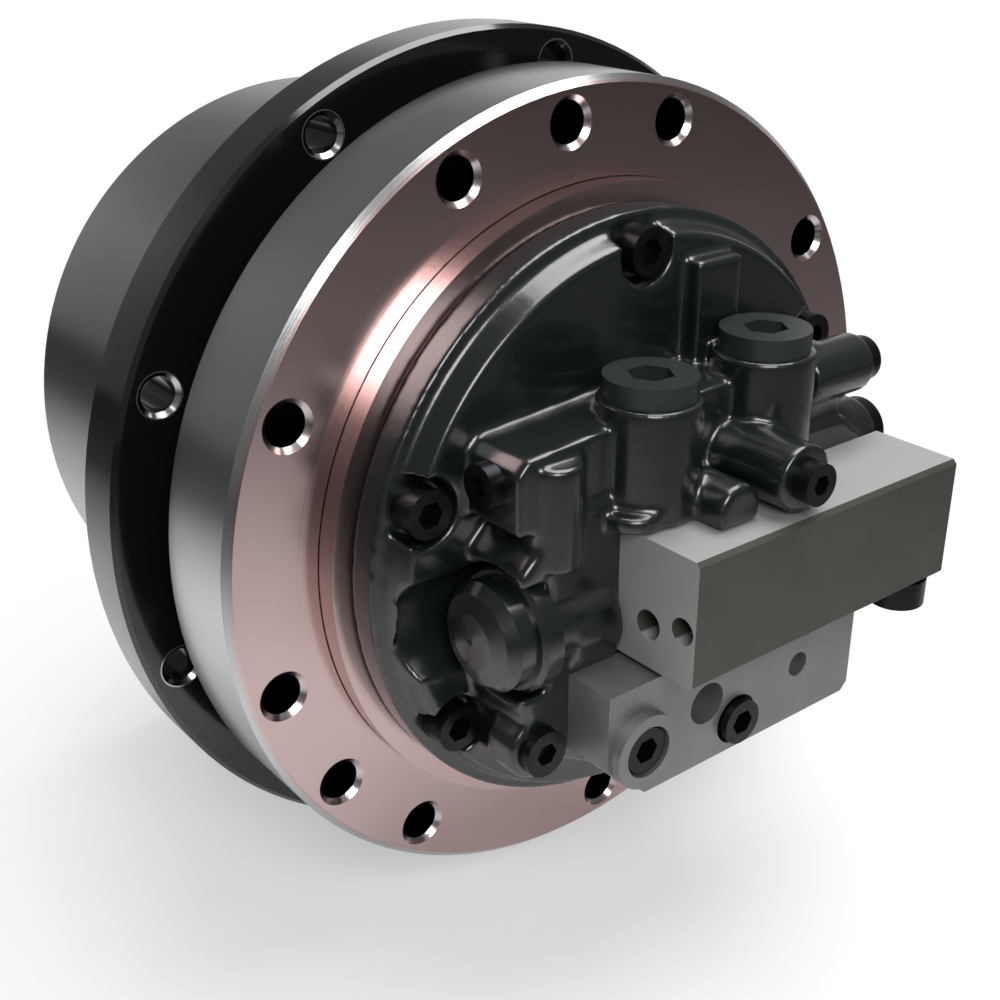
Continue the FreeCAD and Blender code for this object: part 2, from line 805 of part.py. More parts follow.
def kidney(name, start_angle):
    """The space of a kidney port, an arc of a ring on the piston circle."""
    outer = cylinder(name + "_outer", "37", "10", ("0", "-10", "0"), "+Y")
    inner = cylinder(name + "_inner", "27", "12", ("0", "-11", "0"), "+Y")
    outer.Angle = 130
    outer.Placement.Rotation = FreeCAD.Rotation(AXIS, start_angle).multiply(
        outer.Placement.Rotation)
    return cut(name, outer, [inner])


node(cut("valve_plate_cut", valve_plate, [kidney("kidney_left", 25), kidney("kidney_right", 205)]),
     "valve_plate")

# ---------------------------------------------------------------- parking brake

BRAKE_START = 10
friction = [rod(57, y, y + 2).cut(rod(47.3, 0, 40)) for y in (BRAKE_START, 14, 18)]
group("friction_discs", friction)
separators = [rod(59.8, y, y + 2).cut(rod(50, 0, 40)) for y in (12, 16, 20)]
group("separator_discs", separators)
ring("brake_stop_ring", "50", "59.8", "22", "26")
ring("brake_piston", "48", "59.7", "-4", str(BRAKE_START))
BRAKE_SPRINGS = 6
springs = []
for number in range(BRAKE_SPRINGS):
    x, z = at_angle(54, 30 + number * 360 / BRAKE_SPRINGS)
    springs.append(rod(3.6, -18, -5.3, x, z).cut(rod(2.2, -20, 0, x, z)))
group("brake_springs", springs)

# ---------------------------------------------------------------- rear cover with its valve body


def prism(label, points, back, front):
    """A plate with an outline in X and Z, from y = back to y = front."""
    body = doc.addObject("PartDesign::Body", label)
    sketch = outline(body, label + "_outline", points, "XZ_Plane", f"-1 * ({back})")
    pad = body.newObject("PartDesign::Pad", label + "_pad")
    pad.Profile = sketch
    pad.setExpression("Length", f"({back}) - ({front})")
    doc.recompute()
    return body


def upright(name, x, y, radius, bottom, top):
    return cylinder(name, radius, f"({top}) - ({bottom})", (x, y, bottom), "+Z")


def crosswise(name, y, z, radius, left, right):
    return cylinder(name, radius, f"({right}) - ({left})", (left, y, z), "+X")


def rearward(name, x, z, radius, back, front):
    return cylinder(name, radius, f"({back}) - ({front})", (x, back, z), "-Y")


valve_body = prism("valve_body", [
    ("-76", "14"),
    ("-60", "30"),
    ("70", "30"),
    ("82", "18"),
    ("82", "-24"),
    ("61", "-48"),
    ("61", "-66"),
    ("-44", "-66"),
    ("-72", "-50"),
    ("-76", "-30"),
], "Size.cover_face + 4", "Size.body_front")
valve_chest = prism("valve_chest", [
    ("Size.chest_left", "26"),
    ("Size.chest_right", "26"),
    ("Size.chest_right", "Size.chest_top - 6"),
    ("Size.chest_right - 4", "Size.chest_top - 2"),
    ("11", "Size.chest_top + 2"),
    ("Size.chest_left + 4", "Size.chest_top - 4"),
    ("Size.chest_left", "Size.chest_top - 8"),
], "Size.cover_face + 4", "Size.chest_front")

cover_forms = [
    rearward("cover_foot", "0", "0", "Size.cover_radius", "-1 * Size.pilot_height",
             "Size.cover_foot"),
    cone("cover_dome", "Size.cover_face_radius + 3", "Size.cover_face_radius",
         "Size.cover_foot - Size.cover_face", ("0", "Size.cover_foot", "0"), "-Y"),
    valve_body,
    valve_chest,
    box("oil_rib", ("13", "-36", "50"), ("33", "-28", "90")),
    upright("left_boss", "Size.left_boss_x", "Size.boss_y", "Size.boss_radius", "20",
            "Size.left_boss_top"),
    upright("right_boss", "Size.right_boss_x", "Size.boss_y", "Size.boss_radius", "20",
            "Size.right_boss_top"),
    upright("left_shoulder", "-33", "-57", "11", "20.3", "26"),
    upright("left_column", "-61", "-52", "9", "13", "47"),
    rearward("screw_boss", "13", "32", "11.3", "-50", "-86"),
    rearward("short_boss", "-9", "25", "9", "-50", "-80"),
    rearward("low_boss", "-69", "-49", "11", "-24", "Size.body_front"),
    upright("small_boss", "53", "-42", "8.5", "40", "57.5"),
    crosswise("drum_boss", "-44", "-14", "16.8", "-56", "-38"),
    crosswise("spool_boss", "Size.spool_y", "Size.spool_z", "17", "-66", "-40"),
    crosswise("right_boss_high", "-48", "46", "10.5", "50", "80"),
    crosswise("right_boss_low", "-42.5", "16", "13", "70", "90"),
]
cover_spaces = [
    box("block_space", ("Size.block_left - 0.3", "Size.block_front - 1", "Size.block_bottom"),
        ("Size.block_right + 1", "Size.body_front", "Size.block_top + 0.3")),
    rearward("rear_bearing_seat", "0", "0", "20", "-1 * Size.pilot_height + 1", "-26"),
    crosswise("spool_bore", "Size.spool_y", "Size.spool_z", "Size.spool_bore", "-67", "83"),
    crosswise("cap_pocket", "Size.spool_y", "Size.spool_z", "22.5", "-100", "-66"),
    crosswise("speed_bore", "Size.speed_y", "Size.speed_z", "Size.speed_bore", "-77", "10"),
]
for number, angle in enumerate(COVER_SCREW_ANGLES):
    x, z = polar("Size.cover_bolt_circle", angle)
    cover_spaces.append(rearward(f"screw_pocket_{number}", x, z, "11", "Size.cover_foot", "-42"))
    cover_spaces.append(rearward(f"screw_way_{number}", x, z, "Size.screw_radius + Size.screw_gap",
                                 "-7", "-21"))
for number in range(BRAKE_SPRINGS):
    x, z = polar("54", 30 + number * 360 / BRAKE_SPRINGS)
    cover_spaces.append(rearward(f"spring_pocket_{number}", x, z, "3.8", "-7", "-18"))
PLUG_DEPTH = 8
THREAD_GAP = 0.1
RELIEF_THREAD = 8
RELIEF_VALVES = (("Size.left_boss_x", "Size.left_boss_top"),
                 ("Size.right_boss_x", "Size.right_boss_top"))
for number, (x, top) in enumerate(RELIEF_VALVES):
    cover_spaces.append(cylinder(f"relief_bore_{number}", RELIEF_THREAD + THREAD_GAP,
                                 PLUG_DEPTH + 1, (x, "Size.boss_y", top), "-Z"))
# The plugs screwed into the casting: direction, seat, head radius, head height, thread radius.
CASTING_PLUGS = (
    ("-Y", (-69, "Size.body_front", -49), 8, 4, 5),
    ("-Y", (13, -86, 32), 7, 6, 4),
    ("+Z", (53, -42, 57.5), 6, 6, 4),
    ("+X", (80, -48, 46), 8, 6, 6),
    ("+X", (90, -42.5, 16), 11, 6, 6),
)
INWARD = {"-Y": "+Y", "+Z": "-Z", "+X": "-X"}
for number, (direction, at, _, _, thread) in enumerate(CASTING_PLUGS):
    cover_spaces.append(cylinder(f"plug_bore_{number}", thread + THREAD_GAP, PLUG_DEPTH + 1, at,
                                 INWARD[direction]))
PLATE_SCREWS = ((-43, -49, -68), (2, -57, -68))
for number, (x, z, seat) in enumerate(PLATE_SCREWS):
    cover_spaces.append(rearward(f"plate_thread_{number}", x, z,
                                 "Size.screw_radius + Size.screw_gap", "-42", "-57"))
DOWELS_X = (-24, 58)
DOWELS_Z = 8
for number, x in enumerate(DOWELS_X):
    cover_spaces.append(rearward(f"dowel_hole_{number}", x, DOWELS_Z, "4.1", "-46", "-57"))
node(cut("rear_cover_cut", joined("cover_casting", cover_forms), cover_spaces), "rear_cover")

# ---------------------------------------------------------------- pieces on the valve body


def lengthwise(label, points, left, right):
    """A bar along X with an outline in Y and Z."""
    body = doc.addObject("PartDesign::Body", label)
    sketch = outline(body, label + "_outline", points, "YZ_Plane", left)
    pad = body.newObject("PartDesign::Pad", label + "_pad")
    pad.Profile = sketch
    pad.setExpression("Length", f"({right}) - ({left})")
    doc.recompute()
    return body


UNDER_PLUG_X = 77
UNDER_PLUG_Y = -80
block_blank = lengthwise("port_block_bar", [
    ("Size.body_front", "Size.block_bottom"),
    ("Size.body_front", "Size.block_top"),
    ("Size.block_front + 1.5", "Size.block_top"),
    ("Size.block_front", "Size.block_top - 1.5"),
    ("Size.block_front", "Size.block_bottom + 1.5"),
    ("Size.block_front + 1.5", "Size.block_bottom"),
], "Size.block_left", "Size.block_right")
block_holes = [
    crosswise("port_upper", "-73", "9", "Size.port_radius", "Size.block_right - 22",
              "Size.block_right + 1"),
    crosswise("port_lower", "-73", "-13", "Size.port_radius", "Size.block_right - 22",
              "Size.block_right + 1"),
    crosswise("gauge_port", "-70", "-9", "5", "Size.block_left - 1", "Size.block_left + 16"),
    crosswise("pilot_port", "-84.5", "-5", "4.5", "Size.block_left - 1", "Size.block_left + 16"),
    upright("under_plug_hole", UNDER_PLUG_X, UNDER_PLUG_Y, "6.1", "-25", "-22"),
]
for number, x in enumerate(DOWELS_X):
    block_holes.append(rearward(f"block_dowel_{number}", x, DOWELS_Z, "4.1", "-55", "-66"))
node(cut("port_block_cut", block_blank, block_holes), "port_block")
group("port_block_dowels", [rod(4, -65.5, -46.5, x, DOWELS_Z) for x in DOWELS_X])

plate_blank = prism("foot_plate_bar", [
    ("Size.plate_left", "Size.plate_top"),
    ("Size.plate_right", "Size.plate_top"),
    ("Size.plate_right", "Size.plate_bottom + 3"),
    ("Size.plate_right - 3", "Size.plate_bottom"),
    ("Size.plate_left + 17", "Size.plate_bottom"),
    ("Size.plate_left", "Size.plate_bottom + 15"),
], "Size.body_front", "Size.plate_front")
plate_with_boss = joined("foot_plate_boss", [
    plate_blank,
    rearward("plate_boss", "-43", "-49", "13", "-60", "-79"),
])
plate_holes = [
    rearward("boss_screw_seat", "-43", "-49", "9", "-68", "-80"),
    rearward("plate_screw_seat", "2", "-57", "9", "-68", "-80"),
    rearward("plate_recess", "-13", "-45", "7.5", "-62", "-80"),
    rearward("drain_port", "32", "-47", "4.5", "-60", "-80"),
]
for number, (x, z, seat) in enumerate(PLATE_SCREWS):
    plate_holes.append(rearward(f"plate_way_{number}", x, z,
                                "Size.screw_radius + Size.screw_gap", "-55", "-80"))
node(cut("foot_plate_cut", plate_with_boss, plate_holes), "foot_plate")
group("foot_plate_screws", [
    moved(socket_screw(-43 - seat), x, seat, z) for x, z, seat in PLATE_SCREWS])


def facing(shape, direction, x, y, z):
    """A piece made along +Y, turned to point its head in a direction and moved into place."""
    copy = shape.copy()
    copy.Placement = FreeCAD.Placement(
        FreeCAD.Vector(x, y, z),
        FreeCAD.Rotation(FreeCAD.Vector(0, -1, 0), DIRECTIONS[direction]),
    )
    return copy


def plug(radius, height, thread, depth):
    """A plug with a hexagon socket; its head stands on y = 0 and its thread points along +Y."""
    head = rod(radius, -height, 0)
    corners = [at_angle(radius * 0.5, 60 * side) for side in range(7)]
    hexagon = Part.Face(Part.makePolygon([FreeCAD.Vector(x, -height, z) for x, z in corners]))
    return head.fuse(rod(thread, 0, depth)).cut(hexagon.extrude(AXIS * height * 0.7))


SPOOL_Y = value("Size.spool_y")
SPOOL_Z = value("Size.spool_z")
CAP_STEPS = ((21, 0), (21, -6), (19.5, -7.5), (18, -7.5), (18, -14), (15, -17.5), (9, -19.5), (0, -20))
cap_section = Part.Face(Part.makePolygon(
    [FreeCAD.Vector(radius, y, 0) for radius, y in CAP_STEPS + ((0, 0), (21, 0))]))
cap_thread = rod(value("Size.spool_bore") - 0.1, 0, 8)
left_cap = cap_section.revolve(FreeCAD.Vector(), AXIS, 360).fuse(cap_thread).removeSplitter()
group("spool_cap_left", [facing(left_cap, "-X", -66, SPOOL_Y, SPOOL_Z)])
group("spool_plugs", [
    facing(plug(12, 6, value("Size.spool_bore") - 0.1, 8), "+X", 82, SPOOL_Y, SPOOL_Z),
    facing(plug(7, 5, value("Size.speed_bore") - 0.1, 8), "-X",
           value("Size.chest_left"), value("Size.speed_y"), value("Size.speed_z")),
])


def spool(label, radius, lands, waist, ends, y, z):
    """A valve spool along X: lands that fit its bore, on a thinner waist."""
    pieces = [rod(radius, start, end) for start, end in lands]
    body = rod(waist, *ends)
    for piece in pieces:
        body = body.fuse(piece)
    group(label, [facing(body.removeSplitter(), "-X", 0, y, z)])


spool("counterbalance_spool", value("Size.spool_bore") - 0.05,
      ((-44, -30), (-12, 12), (30, 44)), 5, (-44, 44), SPOOL_Y, SPOOL_Z)
spool("speed_spool", value("Size.speed_bore") - 0.05,
      ((-62, -50), (-38, -26), (-16, -8)), 3, (-62, -8),
      value("Size.speed_y"), value("Size.speed_z"))

BOSS_Y = value("Size.boss_y")
group("relief_valves", [
    facing(plug(15, 7, RELIEF_THREAD, PLUG_DEPTH), "+Z", value(x), BOSS_Y, value(top))
    for x, top in RELIEF_VALVES])
valve_plugs = [
    facing(plug(radius, height, thread, PLUG_DEPTH), direction, *(value(number) for number in at))
    for direction, at, radius, height, thread in CASTING_PLUGS]
valve_plugs.append(
    facing(plug(10, 10, 6, 1.8), "-Z", UNDER_PLUG_X, UNDER_PLUG_Y, value("Size.block_bottom")))
group("valve_plugs", valve_plugs)

# ---------------------------------------------------------------- fasteners of the main joints

cover_screw = socket_screw(27)
COVER_SEAT = value("Size.cover_foot")
COVER_CIRCLE = value("Size.cover_bolt_circle")
group("cover_screws", [
    moved(cover_screw, at_angle(COVER_CIRCLE, angle)[0], COVER_SEAT,
          at_angle(COVER_CIRCLE, angle)[1])
    for angle in COVER_SCREW_ANGLES])
small_screw = socket_screw(24, 0.8)
DRUM_SEAT = value("Size.sprocket_face") + 8
drum_screws = [
    moved(small_screw, at_angle(117, angle)[0], DRUM_SEAT, at_angle(117, angle)[1])
    for angle in range(0, 360, 45)]
group("drum_screws", drum_screws)
END_SCREWS = int(value("Size.end_bolt_count"))
end_screw = socket_screw(16, 0.8)
end_screw.rotate(FreeCAD.Vector(), UP, 180)
END_CIRCLE = value("Size.end_bolt_circle")
END_SEAT = value("Size.cover_end") - 8.5
end_screws = []
for number in range(END_SCREWS):
    x, z = at_angle(END_CIRCLE, 22.5 + number * 360 / END_SCREWS)
    end_screws.append(moved(end_screw, x, END_SEAT, z))
group("end_cover_screws", end_screws)
oil_plug = plug(11, 3, 7.9, 8)
oil_plug.rotate(FreeCAD.Vector(), UP, 180)
oil_plugs = []
for angle in (90, 210):
    x, z = at_angle(72, angle)
    oil_plugs.append(moved(oil_plug, x, value("Size.cover_end") - 4, z))
group("oil_plugs", oil_plugs)

# ---------------------------------------------------------------- check and write

doc.recompute()
for item in doc.Objects:
    if {"Invalid", "Error"} & set(item.State):
        raise RuntimeError(f"{item.Label} failed: {item.State}")
os.makedirs("parts", exist_ok=True)
for label, item in NODES.items():
    if item.Shape.isNull() or not item.Shape.isValid():
        raise RuntimeError(f"{label} has no valid shape")
    item.Shape.exportStep(f"parts/{label}.step")
print(len(NODES), "sub-parts written")
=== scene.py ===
import json
import math

import bpy
from mathutils import Matrix, Vector


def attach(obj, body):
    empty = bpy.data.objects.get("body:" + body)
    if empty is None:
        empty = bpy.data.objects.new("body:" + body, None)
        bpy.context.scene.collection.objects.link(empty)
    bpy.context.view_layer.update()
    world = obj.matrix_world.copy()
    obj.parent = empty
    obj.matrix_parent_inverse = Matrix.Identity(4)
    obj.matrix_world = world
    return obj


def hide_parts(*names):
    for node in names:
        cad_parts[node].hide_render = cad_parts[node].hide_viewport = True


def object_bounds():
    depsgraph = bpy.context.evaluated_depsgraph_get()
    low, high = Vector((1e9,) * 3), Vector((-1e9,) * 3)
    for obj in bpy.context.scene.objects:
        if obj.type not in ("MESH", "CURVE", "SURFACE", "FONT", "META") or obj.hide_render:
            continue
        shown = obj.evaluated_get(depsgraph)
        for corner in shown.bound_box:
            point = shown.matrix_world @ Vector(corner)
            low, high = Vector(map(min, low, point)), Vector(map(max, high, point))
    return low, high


# Final drive of an excavator. The row frame holds: metres, the turning axis is Y, the motor end
# looks along -Y, +Z is up, and the origin is the centre of the face that bolts to the machine.

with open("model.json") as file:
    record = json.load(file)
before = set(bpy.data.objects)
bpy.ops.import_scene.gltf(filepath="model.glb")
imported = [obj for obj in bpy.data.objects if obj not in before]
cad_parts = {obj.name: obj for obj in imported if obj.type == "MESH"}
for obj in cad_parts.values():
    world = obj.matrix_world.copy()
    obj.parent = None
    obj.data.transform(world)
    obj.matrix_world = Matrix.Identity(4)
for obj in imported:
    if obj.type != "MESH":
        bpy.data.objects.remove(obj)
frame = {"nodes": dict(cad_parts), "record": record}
cad_low, cad_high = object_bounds()
nodes = frame["nodes"]
MM = 0.001

# ------------------------------------------------------------------ spindle with frame flange
# One forging of alloy steel, turned all over on a lathe and drilled. Its frame face carries a
# thin rosy film of baked-on protective oil; the rim is cleaner and brighter.


def linear(hex_colour):
    """The linear colour of an sRGB hex value."""
    channels = [int(hex_colour[start:start + 2], 16) / 255 for start in (1, 3, 5)]
    flat = [c / 12.92 if c <= 0.04045 else ((c + 0.055) / 1.055) ** 2.4 for c in channels]
    return (*flat, 1.0)


def add_node(material, kind, settings=None, links=None):
    """A shader node with its settings and the sockets that feed it."""
    tree = material.node_tree
    node = tree.nodes.new(kind)
    for key, setting in (settings or {}).items():
        if isinstance(key, int) or key in node.inputs:
            node.inputs[key].default_value = setting
        else:
            setattr(node, key, setting)
    for key, source in (links or {}).items():
        tree.links.new(source, node.inputs[key])
    return node


def new_material(name, base, metallic, roughness):
    """A material with a Principled shader, and the object's own coordinates."""
    material = bpy.data.materials.new(name)
    material.use_nodes = True
    material.node_tree.nodes.clear()
    shader = add_node(material, "ShaderNodeBsdfPrincipled", {
        "Base Color": linear(base),
        "Metallic": metallic,
        "Roughness": roughness,
    })
    add_node(material, "ShaderNodeOutputMaterial", links={"Surface": shader.outputs[0]})
    place = add_node(material, "ShaderNodeTexCoord").outputs["Object"]
    return material, shader, place


def axis_distance(material, place):
    """The distance from the turning axis, and the sum of it and y, which runs along any turned
    surface from one edge to the other."""
    parts = add_node(material, "ShaderNodeSeparateXYZ", links={0: place})
    flat = add_node(material, "ShaderNodeCombineXYZ",
                    links={0: parts.outputs["X"], 2: parts.outputs["Z"]})
    radius = add_node(material, "ShaderNodeVectorMath", {"operation": "LENGTH"},
                      {0: flat.outputs[0]}).outputs["Value"]
    along = add_node(material, "ShaderNodeMath", {"operation": "ADD"},
                     {0: radius, 1: parts.outputs["Y"]}).outputs[0]
    return radius, along, parts


def lathe_marks(material, shader, along, pitch, depth, spread):
    """Fine turned grooves: rings whose height and roughness change from one to the next."""
    rings = add_node(material, "ShaderNodeTexNoise",
                     {"noise_dimensions": "1D", "Scale": 1 / pitch, "Detail": 3.0},
                     {"W": along})
    bump = add_node(material, "ShaderNodeBump", {"Strength": 0.35, "Distance": depth},
                    {"Height": rings.outputs[0]})
    shader.id_data.links.new(bump.outputs[0], shader.inputs["Normal"])
    middle = shader.inputs["Roughness"].default_value
    rough = add_node(material, "ShaderNodeMapRange",
                     {"To Min": middle - spread, "To Max": middle + spread},
                     {"Value": rings.outputs[0]})
    shader.id_data.links.new(rough.outputs[0], shader.inputs["Roughness"])


EDGE_BLUR = 0.1 * MM  # how softly one finish ends and the next begins


def threaded_walls(material, radius, inner, outer):
    """One where a wall lies along the turning axis between two radii, which is inside the
    drilled holes, and nought elsewhere."""
    normal = add_node(material, "ShaderNodeSeparateXYZ",
                      links={0: add_node(material, "ShaderNodeTexCoord").outputs["Normal"]})
    slope = add_node(material, "ShaderNodeMath", {"operation": "ABSOLUTE"},
                     {0: normal.outputs["Y"]}).outputs[0]
    upright = add_node(material, "ShaderNodeMapRange", {"From Min": 0.4, "From Max": 0.3},
                       {"Value": slope}).outputs[0]
    off_middle = add_node(material, "ShaderNodeMath",
                          {"operation": "SUBTRACT", 1: (inner + outer) / 2},
                          {0: radius}).outputs[0]
    distance = add_node(material, "ShaderNodeMath", {"operation": "ABSOLUTE"},
                        {0: off_middle}).outputs[0]
    half = (outer - inner) / 2
    within = add_node(material, "ShaderNodeMapRange",
                      {"From Min": half, "From Max": half - EDGE_BLUR},
                      {"Value": distance}).outputs[0]
    return add_node(material, "ShaderNodeMath", {"operation": "MULTIPLY"},
                    {0: upright, 1: within}).outputs[0]


def finish_node(name, material):
    """Gives a node of the frame one material."""
    data = nodes[name].data
    data.materials.clear()
    data.materials.append(material)


SHARP_ANGLE = math.radians(40)  # flatter edges than this are left alone


def ease_edges(name, width):
    """A small broken edge, as a file or a tumbling drum leaves it."""
    bevel = nodes[name].modifiers.new("broken_edge", "BEVEL")
    bevel.width = width
    bevel.segments = 2
    bevel.limit_method = "ANGLE"
    bevel.angle_limit = SHARP_ANGLE
    bevel.harden_normals = True


# Turned alloy steel: a soft metal shine drawn out in rings round the axis.
TURNED_PITCH = 0.9 * MM  # real feed marks are 0.2 mm, drawn coarser so that they show
STAIN_SIZE = 71.4 * MM  # the oil film clouds in patches as wide as a palm
FILM_EDGE = (0.3 * MM, 1.4 * MM)  # how far round the corner the film reaches
FRAME_HOLE_BAND = (124 * MM, 140 * MM)
flange_steel, shader, place = new_material("turned_alloy_steel", "#d3c3c6", 1.0, 0.22)
radius, along, parts = axis_distance(flange_steel, place)
lathe_marks(flange_steel, shader, along, TURNED_PITCH, 0.03 * MM, 0.04)
facing_rear = add_node(flange_steel, "ShaderNodeMapRange",
                       {"From Min": FILM_EDGE[0], "From Max": FILM_EDGE[1]},
                       {"Value": parts.outputs["Y"]}).outputs[0]
stain = add_node(flange_steel, "ShaderNodeTexNoise", {"Scale": 1 / STAIN_SIZE, "Detail": 5.0},
                 {"Vector": place})
rosy = add_node(flange_steel, "ShaderNodeMix", {"data_type": "RGBA"},
                {"Factor": stain.outputs[0]})
rosy.inputs[6].default_value = linear("#bfa5a3")
rosy.inputs[7].default_value = linear("#d0bab8")
skin = add_node(flange_steel, "ShaderNodeMix", {"data_type": "RGBA"},
                {"Factor": facing_rear, 6: rosy.outputs[2]})
skin.inputs[7].default_value = linear("#bfc1c1")
# The walls of the frame holes are painted dark brown: a painted shade that stands in for the shade
# deep inside them.
hole_shade = threaded_walls(flange_steel, radius, *FRAME_HOLE_BAND)
shaded_holes = add_node(flange_steel, "ShaderNodeMix", {"data_type": "RGBA"},
                 {"Factor": hole_shade, 6: skin.outputs[2]})
shaded_holes.inputs[7].default_value = linear("#3a2f2b")
flange_steel.node_tree.links.new(shaded_holes.outputs[2], shader.inputs["Base Color"])
for name in ("spindle", "frame_flange"):
    finish_node(name, flange_steel)

# ------------------------------------------------------------------ hub with sprocket flange
# A cast hub whose flange carries the sprocket. The faces are enamelled gloss black, and the
# countersinks of the sprocket holes are drilled after painting, so they are bare metal.

HUB_HOLES = 9
HUB_HOLE_CIRCLE = 143.8 * MM
HUB_HOLE_START = math.radians(118.5)
HUB_HOLE_STEP = 2 * math.pi / HUB_HOLES
HUB_HOLE_BAND = (137 * MM, 150.5 * MM)
BARE_RADIUS = 7.9 * MM
PEEL_SIZE = 3.85 * MM  # orange peel, the fine unevenness of the paint
hub_enamel, shader, place = new_material("gloss_black_enamel_hub", "#0b0d0d", 0.0, 0.16)
shader.inputs["Coat Weight"].default_value = 0.6
shader.inputs["Coat Roughness"].default_value = 0.08
radius, _, parts = axis_distance(hub_enamel, place)
angle = add_node(hub_enamel, "ShaderNodeMath", {"operation": "ARCTAN2"},
                 {0: parts.outputs["Z"], 1: parts.outputs["X"]}).outputs[0]
turned_back = add_node(hub_enamel, "ShaderNodeMath",
                       {"operation": "SUBTRACT", 1: HUB_HOLE_START - HUB_HOLE_STEP / 2},
                       {0: angle}).outputs[0]
sector = add_node(hub_enamel, "ShaderNodeMath", {"operation": "FLOORED_MODULO", 1: HUB_HOLE_STEP},
                  {0: turned_back}).outputs[0]
off_hole = add_node(hub_enamel, "ShaderNodeMath", {"operation": "SUBTRACT", 1: HUB_HOLE_STEP / 2},
                    {0: sector}).outputs[0]
across = add_node(hub_enamel, "ShaderNodeMath", {"operation": "MULTIPLY", 1: HUB_HOLE_CIRCLE},
                  {0: off_hole}).outputs[0]
outwards = add_node(hub_enamel, "ShaderNodeMath", {"operation": "SUBTRACT", 1: HUB_HOLE_CIRCLE},
                    {0: radius}).outputs[0]
from_hole = add_node(hub_enamel, "ShaderNodeCombineXYZ", links={0: across, 1: outwards})
near_hole = add_node(hub_enamel, "ShaderNodeVectorMath", {"operation": "LENGTH"},
                     {0: from_hole.outputs[0]}).outputs["Value"]
bare = add_node(hub_enamel, "ShaderNodeMapRange",
                {"From Min": BARE_RADIUS + EDGE_BLUR, "From Max": BARE_RADIUS - EDGE_BLUR},
                {"Value": near_hole}).outputs[0]
enamel_skin = add_node(hub_enamel, "ShaderNodeMix", {"data_type": "RGBA"}, {"Factor": bare})
enamel_skin.inputs[6].default_value = linear("#0b0d0d")
enamel_skin.inputs[7].default_value = linear("#b9bcba")
# The walls of the sprocket holes are painted dull dark grey: a painted shade that stands in for the
# shade inside them.
hub_hole_shade = threaded_walls(hub_enamel, radius, *HUB_HOLE_BAND)
hub_shaded_holes = add_node(hub_enamel, "ShaderNodeMix", {"data_type": "RGBA"},
                       {"Factor": hub_hole_shade, 6: enamel_skin.outputs[2]})
hub_shaded_holes.inputs[7].default_value = linear("#2b2a29")
hub_enamel.node_tree.links.new(hub_shaded_holes.outputs[2], shader.inputs["Base Color"])
hub_enamel.node_tree.links.new(bare, shader.inputs["Metallic"])
ripple = add_node(hub_enamel, "ShaderNodeTexNoise", {"Scale": 1 / PEEL_SIZE, "Detail": 2.0},
                  {"Vector": place})
bump = add_node(hub_enamel, "ShaderNodeBump", {"Strength": 0.12, "Distance": 0.2 * MM},
                {"Height": ripple.outputs[0]})
hub_enamel.node_tree.links.new(bump.outputs[0], shader.inputs["Normal"])
for name in ("hub", "sprocket_flange"):
    finish_node(name, hub_enamel)
    ease_edges(name, 0.8 * MM)

# ------------------------------------------------------------------ gear drum and end cover
# The ring gear's housing and its lid, turned from steel and left bare under a coat of oil: a
# dark, clear metal shine with rings round the axis.

OIL_PATCH = 90.9 * MM  # the coat of oil is thick and thin in wide patches
drum_steel, shader, place = new_material("oiled_turned_steel", "#b4b7b4", 1.0, 0.24)
_, along, _ = axis_distance(drum_steel, place)
lathe_marks(drum_steel, shader, along, TURNED_PITCH, 0.04 * MM, 0.05)
film = add_node(drum_steel, "ShaderNodeTexNoise", {"Scale": 1 / OIL_PATCH, "Detail": 4.0},
                {"Vector": place})
film_colour = add_node(drum_steel, "ShaderNodeMix", {"data_type": "RGBA"},
                       {"Factor": film.outputs[0]})
film_colour.inputs[6].default_value = linear("#83878a")
film_colour.inputs[7].default_value = linear("#acafad")
drum_steel.node_tree.links.new(film_colour.outputs[2], shader.inputs["Base Color"])
for name in ("gear_drum", "end_cover"):
    finish_node(name, drum_steel)
    ease_edges(name, 0.6 * MM)

# ------------------------------------------------------------------ rear cover with valve body
# One grey-iron casting, shaken out of sand with rounded corners everywhere, then dipped in
# gloss black enamel, which lies thick in the corners.

CASTING_VOXEL = 1.1 * MM
casting = nodes["rear_cover"].copy()
casting.data = nodes["rear_cover"].data.copy()
casting.name = "valve_casting"
casting.parent = None
bpy.context.scene.collection.objects.link(casting)
remesh = casting.modifiers.new("sand_skin", "REMESH")
remesh.mode = "VOXEL"
remesh.voxel_size = CASTING_VOXEL
remesh.use_smooth_shade = True
soften = casting.modifiers.new("cast_corners", "SMOOTH")
soften.factor = 0.5
soften.iterations = 9
casting.data = bpy.data.meshes.new_from_object(
    casting.evaluated_get(bpy.context.evaluated_depsgraph_get()))
casting.modifiers.clear()
casting.data.name = "valve_casting"
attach(casting, "housing")
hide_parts("rear_cover")

# Alkyd enamel over sand-cast iron: deep black with a faint green cast, wet-looking highlights,
# and the sand's grain just felt through the paint.
SAND_GRAIN = 2.38 * MM  # real moulding sand is well under 1 mm, drawn coarser so that it shows
PAINT_RUN = 14.3 * MM  # the slow swell of dipped paint
cast_enamel, shader, place = new_material("gloss_black_enamel_casting", "#0d1413", 0.0, 0.3)
shader.inputs["Coat Weight"].default_value = 0.7
shader.inputs["Coat Roughness"].default_value = 0.16
sand = add_node(cast_enamel, "ShaderNodeTexNoise", {"Scale": 1 / SAND_GRAIN, "Detail": 3.0},
                {"Vector": place})
runs = add_node(cast_enamel, "ShaderNodeTexNoise", {"Scale": 1 / PAINT_RUN, "Detail": 2.0},
                {"Vector": place})
grain = add_node(cast_enamel, "ShaderNodeMath", {"operation": "ADD"},
                 {0: sand.outputs[0], 1: runs.outputs[0]})
bump = add_node(cast_enamel, "ShaderNodeBump", {"Strength": 0.2, "Distance": 0.35 * MM},
                {"Height": grain.outputs[0]})
